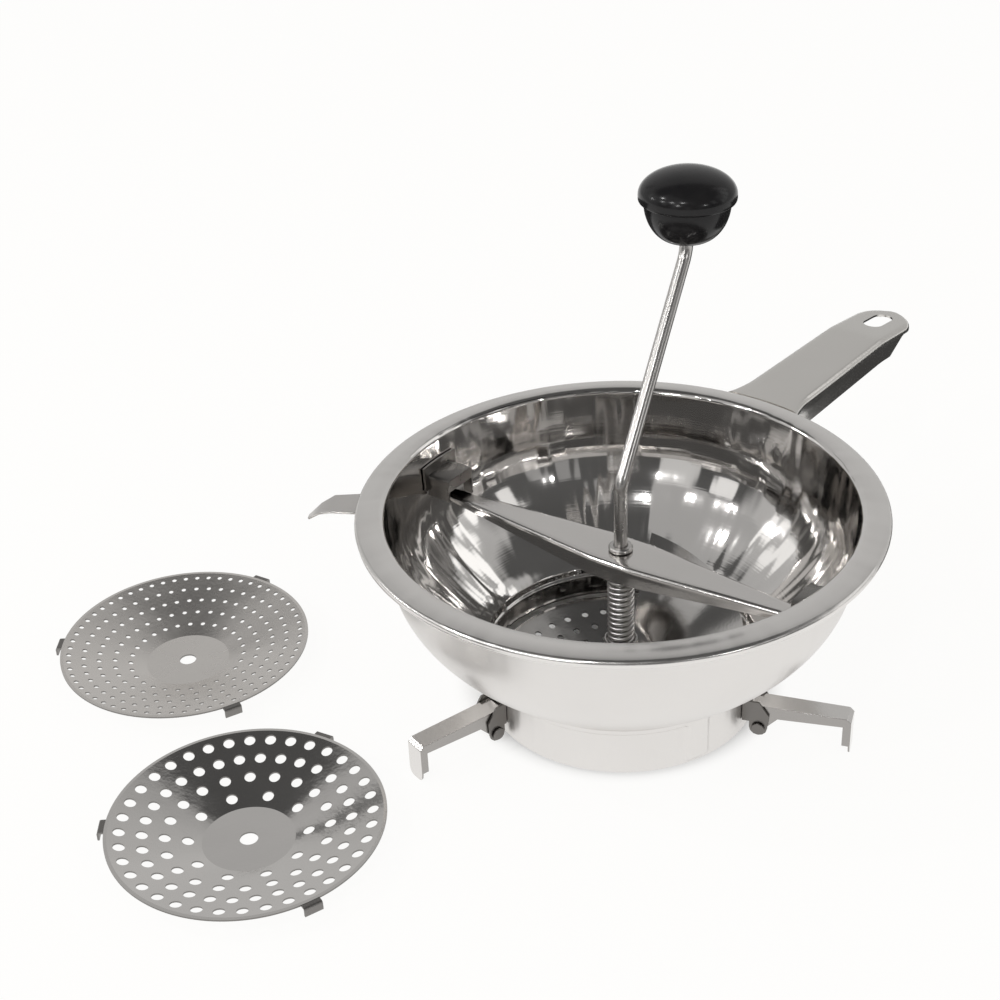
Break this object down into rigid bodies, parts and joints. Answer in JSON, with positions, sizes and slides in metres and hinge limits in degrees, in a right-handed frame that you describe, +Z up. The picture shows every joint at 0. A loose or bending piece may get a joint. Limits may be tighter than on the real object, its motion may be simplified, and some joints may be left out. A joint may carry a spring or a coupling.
{
  "type": "food mill",
  "caption": "Hand food mill: flanged bowl with a channel handle, folding feet, a sprung crossbar with a crank and a screw blade over a sieve disc, and spare sieve discs.",
  "frame": {"origin": "bottom centre of the box round the mill and its two spare discs, on the ground", "axes": "+Z up along the mill's axis, +X to the picture's right, +Y away from its camera"},
  "size_m": [0.4492, 0.3498, 0.2396],
  "materials": {
    "bowl": "polished stainless steel",
    "handle": "satin stainless steel",
    "catch_left": "polished stainless steel",
    "catch_right": "polished stainless steel",
    "pot_hook": "polished stainless steel",
    "foot_bracket_left": "polished stainless steel",
    "foot_bracket_right": "polished stainless steel",
    "foot_bracket_back": "polished stainless steel",
    "foot_pin_left": "polished stainless steel",
    "foot_pin_right": "polished stainless steel",
    "foot_pin_back": "polished stainless steel",
    "sieve_disc_medium": "satin stainless steel",
    "crossbar": "satin stainless steel",
    "spring_washer": "polished stainless steel",
    "spring": "polished stainless steel",
    "spring_cup": "polished stainless steel",
    "crank_rod": "polished stainless steel",
    "rod_collar": "polished stainless steel",
    "blade_hub": "polished stainless steel",
    "blade": "polished stainless steel",
    "knob_cup": "glossy black plastic",
    "knob_cap": "glossy black plastic",
    "foot_left": "polished stainless steel",
    "foot_right": "polished stainless steel",
    "foot_back": "polished stainless steel",
    "sieve_disc_fine": "satin stainless steel",
    "sieve_disc_coarse": "satin stainless steel"
  },
  "bodies": {
    "root": {"bowl": "bowl", "handle": "handle", "catch_left": "catch_left", "catch_right": "catch_right", "pot_hook": "pot_hook", "foot_bracket_left": "foot_bracket_left", "foot_bracket_right": "foot_bracket_right", "foot_bracket_back": "foot_bracket_back", "foot_pin_left": "foot_pin_left", "foot_pin_right": "foot_pin_right", "foot_pin_back": "foot_pin_back", "sieve_disc_medium": "sieve_disc_medium"},
    "bar": {"crossbar": "crossbar", "spring_washer": "spring_washer", "spring": "spring"},
    "carriage": {"spring_cup": "spring_cup"},
    "crank": {"crank_rod": "crank_rod", "rod_collar": "rod_collar", "blade_hub": "blade_hub", "blade": "blade"},
    "knob": {"knob_cup": "knob_cup", "knob_cap": "knob_cap"},
    "left_foot": {"foot_left": "foot_left"},
    "right_foot": {"foot_right": "foot_right"},
    "back_foot": {"foot_back": "foot_back"},
    "fine_disc": {"sieve_disc_fine": "sieve_disc_fine"},
    "coarse_disc": {"sieve_disc_coarse": "sieve_disc_coarse"}
  },
  "joints": [
    {"name": "bar_turn", "type": "hinge", "parent": "root", "child": "bar", "pos_m": [0.05428, -0.02188, 0.0825], "axis": [0, 0, 1], "range_deg": [0, 35]},
    {"name": "blade_float", "type": "slide", "parent": "bar", "child": "carriage", "axis": [0, 0, 1], "range_m": [0, 0.004], "stiffness_N_per_m": 500, "springref_m": -0.004, "deforming": ["spring"]},
    {"name": "crank_spin", "type": "hinge", "parent": "carriage", "child": "crank", "pos_m": [0.05428, -0.02188, 0.06], "axis": [0, 0, 1], "continuous": true},
    {"name": "knob_spin", "type": "hinge", "parent": "crank", "child": "knob", "pos_m": [0.08991, 0.04241, 0.2056], "axis": [0, 0, 1], "continuous": true},
    {"name": "left_foot_fold", "type": "hinge", "parent": "root", "child": "left_foot", "pos_m": [-0.00941, -0.05248, 0.008], "axis": [0.5821, -0.8131, 0], "range_deg": [0, 150]},
    {"name": "right_foot_fold", "type": "hinge", "parent": "root", "child": "right_foot", "pos_m": [0.11588, -0.0565, 0.008], "axis": [0.3322, 0.9432, 0], "range_deg": [0, 150]},
    {"name": "back_foot_fold", "type": "hinge", "parent": "root", "child": "back_foot", "pos_m": [0.05791, 0.04869, 0.008], "axis": [-0.9925, -0.1219, 0], "range_deg": [0, 150]},
    {"name": "fine_disc_lift", "type": "slide", "parent": "root", "child": "fine_disc", "axis": [0, 0, 1], "range_m": [0, 0.08]},
    {"name": "coarse_disc_lift", "type": "slide", "parent": "root", "child": "coarse_disc", "axis": [0, 0, 1], "range_m": [0, 0.08]}
  ]
}
